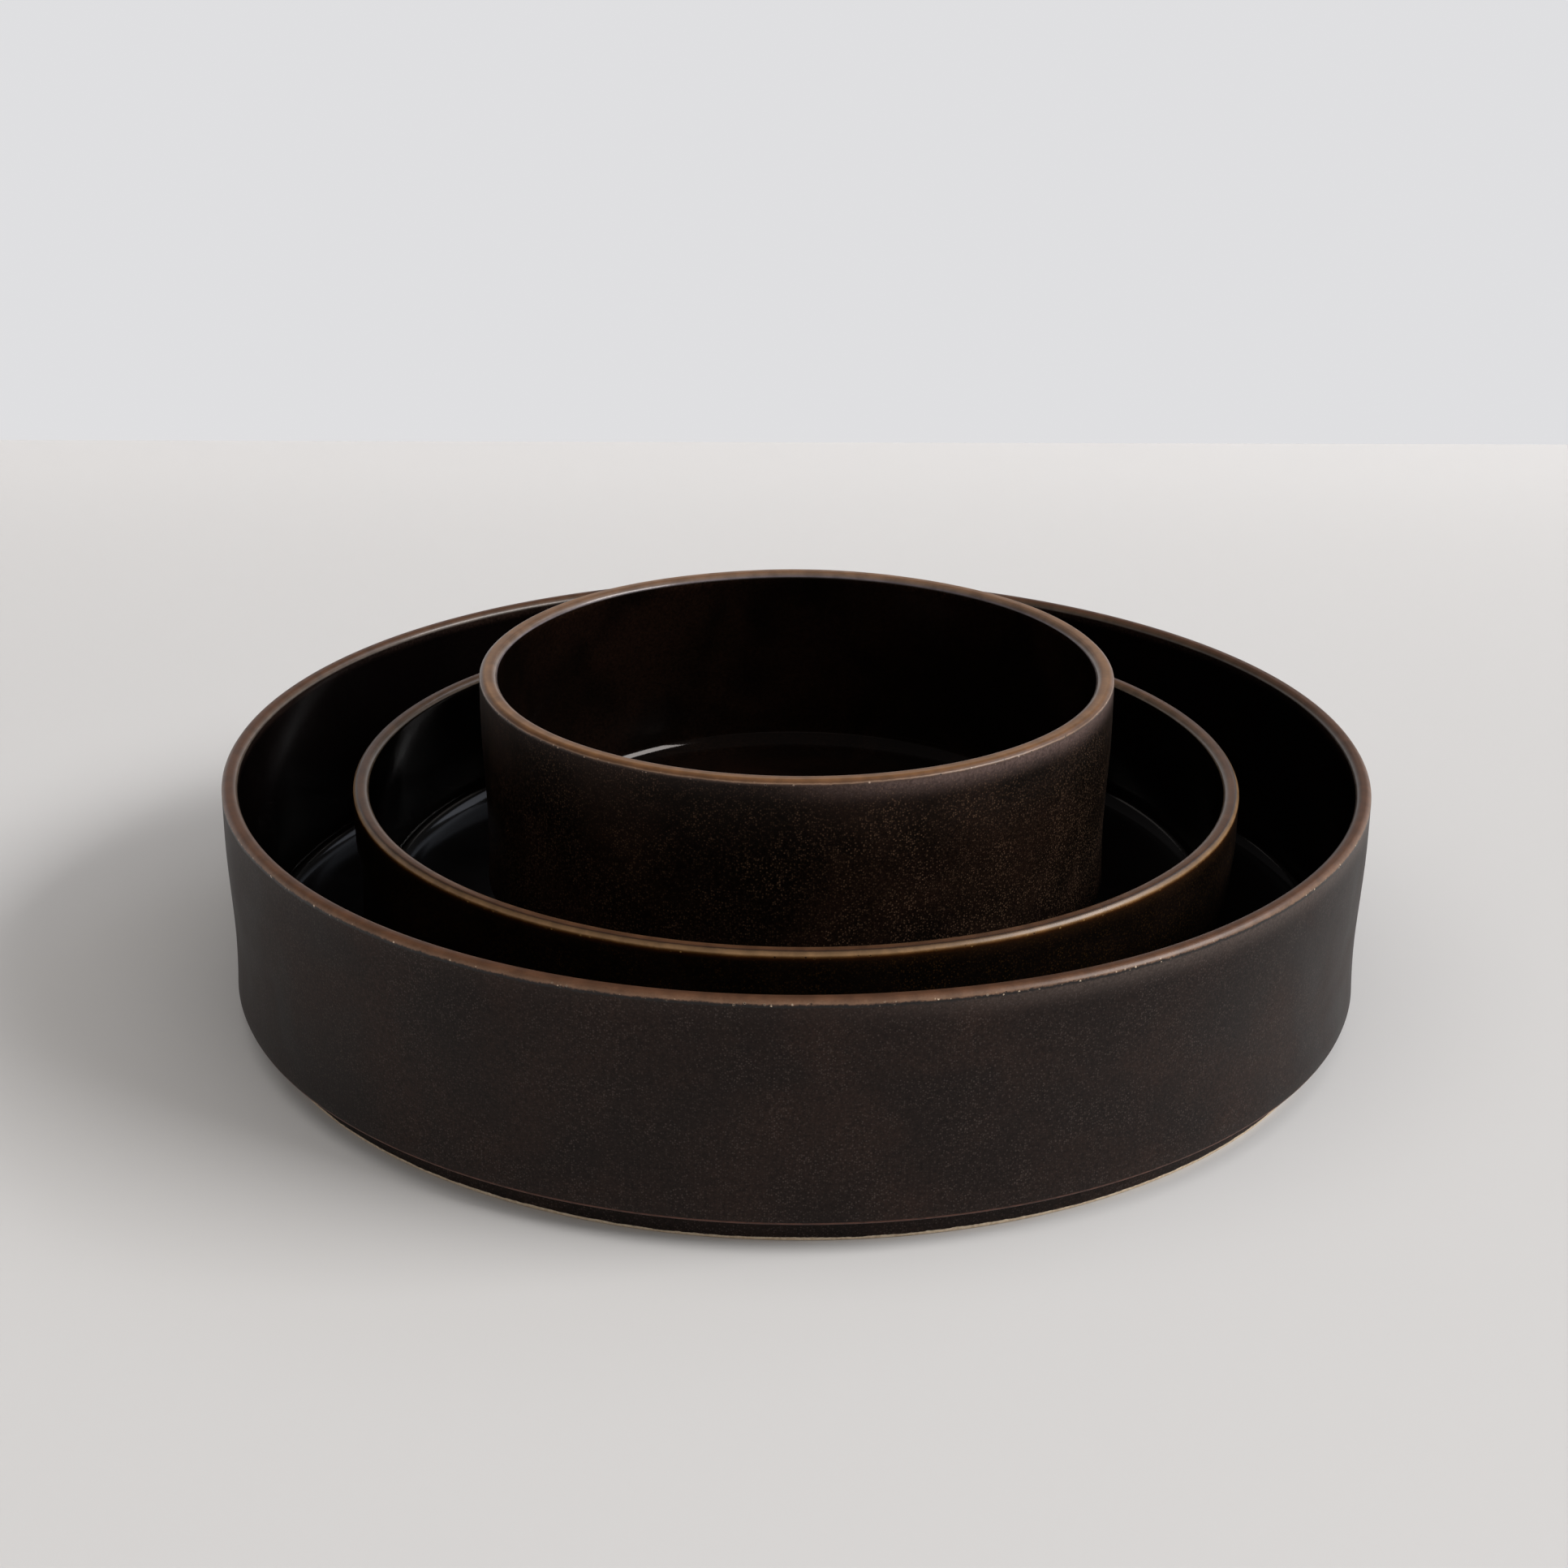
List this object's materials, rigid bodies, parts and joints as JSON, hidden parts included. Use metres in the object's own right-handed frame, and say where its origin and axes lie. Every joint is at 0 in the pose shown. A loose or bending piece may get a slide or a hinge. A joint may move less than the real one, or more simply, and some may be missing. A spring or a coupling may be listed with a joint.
{
  "type": "nesting dish set",
  "caption": "Round straight-sided dark glazed ceramic dishes with flat floors and stepped-in feet, nested one inside the other, each lifting out of the next.",
  "frame": {"origin": "the middle of the large dish's foot ring, on the surface that it stands on", "axes": "+Z is the shared axis of the three dishes, up out of their mouths; X and Y are free, because each dish is a body of revolution"},
  "size_m": [0.255, 0.255, 0.0749],
  "materials": {
    "dark_glaze": "dark brown-black satin glaze on fired stoneware, breaking to pinkish brown on the lips and bare clay under the foot ring"
  },
  "bodies": {
    "large": {"large_dish": "dark_glaze"},
    "medium": {"medium_dish": "dark_glaze"},
    "small": {"small_dish": "dark_glaze"}
  },
  "joints": [
    {"name": "medium_dish_lift", "type": "slide", "parent": "large", "child": "medium", "axis": [0, 0, 1], "range_m": [0, 0.06]},
    {"name": "small_dish_lift", "type": "slide", "parent": "medium", "child": "small", "axis": [0, 0, 1], "range_m": [0, 0.06]}
  ]
}
